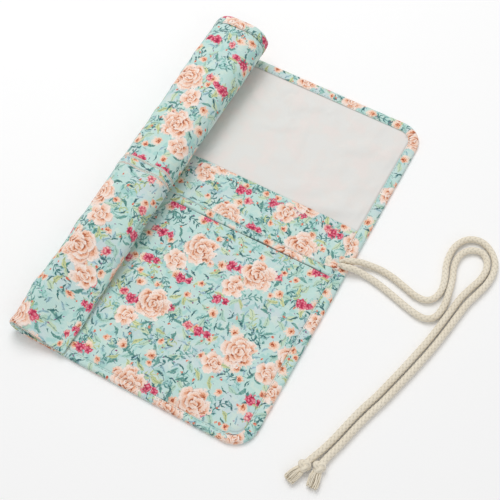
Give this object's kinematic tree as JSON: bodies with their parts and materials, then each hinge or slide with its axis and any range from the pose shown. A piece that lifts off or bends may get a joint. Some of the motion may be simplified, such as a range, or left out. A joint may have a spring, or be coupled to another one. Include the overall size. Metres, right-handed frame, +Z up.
{
  "type": "brush roll case",
  "caption": "Padded cotton roll case for brushes, half rolled up, with layered pockets, bound edges and a tie rope whose two strands end in knots.",
  "frame": {"origin": "middle of the case's footprint on the surface it lies on, without the rope", "axes": "+Y along the roll, +X from the roll to the free edge that holds the rope, +Z up"},
  "size_m": [0.3504, 0.3654, 0.044],
  "materials": {
    "printed_cotton": "plain-woven cotton with a printed flower pattern, matte",
    "plain_cotton": "plain-woven off-white cotton, matte",
    "wadding": "soft bonded wadding",
    "rope_cotton": "braided natural cotton rope, matte"
  },
  "bodies": {
    "tail_end": {"cover_end": "printed_cotton", "wadding_end": "wadding", "lining_end": "plain_cotton", "pocket_back_end": "printed_cotton", "pocket_front_end": "printed_cotton", "binding_end": "printed_cotton", "rope_bight": "rope_cotton", "rope_strand_a": "rope_cotton", "rope_strand_b": "rope_cotton", "rope_knot_a": "rope_cotton", "rope_knot_b": "rope_cotton", "rope_tuft_a": "rope_cotton", "rope_tuft_b": "rope_cotton"},
    "tail_middle": {"cover_middle": "printed_cotton", "wadding_middle": "wadding", "lining_middle": "plain_cotton", "pocket_back_middle": "printed_cotton", "pocket_front_middle": "printed_cotton", "binding_near_middle": "printed_cotton", "binding_far_middle": "printed_cotton"},
    "tail_inner": {"cover_inner": "printed_cotton", "wadding_inner": "wadding", "lining_inner": "plain_cotton", "pocket_back_inner": "printed_cotton", "pocket_front_inner": "printed_cotton", "binding_near_inner": "printed_cotton", "binding_far_inner": "printed_cotton"},
    "roll": {"cover_roll": "printed_cotton", "wadding_roll": "wadding", "lining_roll": "plain_cotton", "pocket_back_roll": "printed_cotton", "pocket_front_roll": "printed_cotton", "binding_roll_near": "printed_cotton", "binding_roll_far": "printed_cotton", "binding_roll_inner_end": "printed_cotton"}
  },
  "joints": [
    {"name": "middle_fold", "type": "hinge", "parent": "tail_end", "child": "tail_middle", "pos_m": [0.05145, 0, 0.0021], "axis": [0, 1, 0], "range_deg": [0, 90]},
    {"name": "inner_fold", "type": "hinge", "parent": "tail_middle", "child": "tail_inner", "pos_m": [-0.01145, 0, 0.0021], "axis": [0, 1, 0], "range_deg": [0, 90]},
    {"name": "roll_fold", "type": "hinge", "parent": "tail_inner", "child": "roll", "pos_m": [-0.05735, 0, 0.0021], "axis": [0, 1, 0], "range_deg": [0, 90]}
  ]
}
